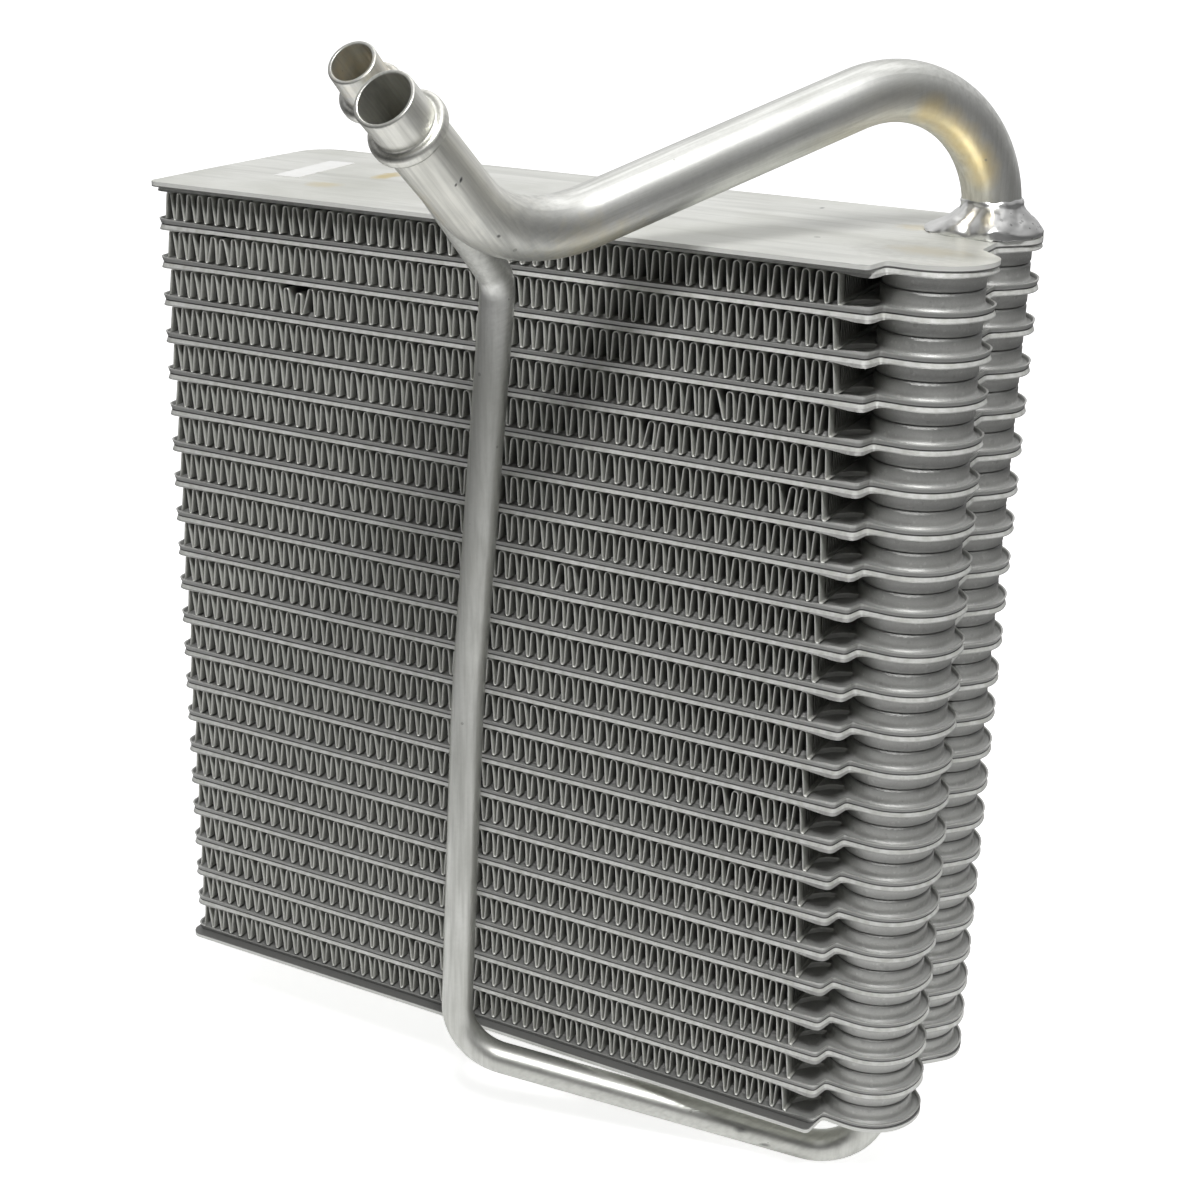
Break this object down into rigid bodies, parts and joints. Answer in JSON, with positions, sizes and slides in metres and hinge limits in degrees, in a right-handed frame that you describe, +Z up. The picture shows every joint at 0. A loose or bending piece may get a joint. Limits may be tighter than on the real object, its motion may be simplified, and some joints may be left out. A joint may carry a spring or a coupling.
{
  "type": "evaporator core",
  "caption": "Laminated aluminium evaporator core: stacked tube plates with cup headers, corrugated fins, end plates, suction and liquid pipes.",
  "frame": {"origin": "underside of the lower end plate, below the middle of the finned block", "axes": "+Z up the stack of plates, +X from the closed far end to the cups, +Y from the front with the pipe mouths to the back"},
  "size_m": [0.2527, 0.1863, 0.3303],
  "materials": {
    "tube_plate": "satin brazed sheet",
    "end_plate": "satin brazed sheet",
    "fin": "dull coated sheet",
    "pipe": "satin drawn tube",
    "weld": "bright weld metal",
    "sticker": "plain matt paper"
  },
  "bodies": {
    "root": {"blank_sticker": "sticker", "end_plate_bottom": "end_plate", "end_plate_top": "end_plate", "fin_01": "fin", "fin_02": "fin", "fin_03": "fin", "fin_04": "fin", "fin_05": "fin", "fin_06": "fin", "fin_07": "fin", "fin_08": "fin", "fin_09": "fin", "fin_10": "fin", "fin_11": "fin", "fin_12": "fin", "fin_13": "fin", "fin_14": "fin", "fin_15": "fin", "fin_16": "fin", "fin_17": "fin", "fin_18": "fin", "fin_19": "fin", "fin_20": "fin", "fin_21": "fin", "fin_22": "fin", "liquid_pipe": "pipe", "liquid_weld": "weld", "suction_pipe": "pipe", "suction_weld": "weld", "tube_01": "tube_plate", "tube_02": "tube_plate", "tube_03": "tube_plate", "tube_04": "tube_plate", "tube_05": "tube_plate", "tube_06": "tube_plate", "tube_07": "tube_plate", "tube_08": "tube_plate", "tube_09": "tube_plate", "tube_10": "tube_plate", "tube_11": "tube_plate", "tube_12": "tube_plate", "tube_13": "tube_plate", "tube_14": "tube_plate", "tube_15": "tube_plate", "tube_16": "tube_plate", "tube_17": "tube_plate", "tube_18": "tube_plate", "tube_19": "tube_plate", "tube_20": "tube_plate", "tube_21": "tube_plate", "tube_plate_bottom": "tube_plate", "tube_plate_top": "tube_plate"}
  },
  "joints": []
}
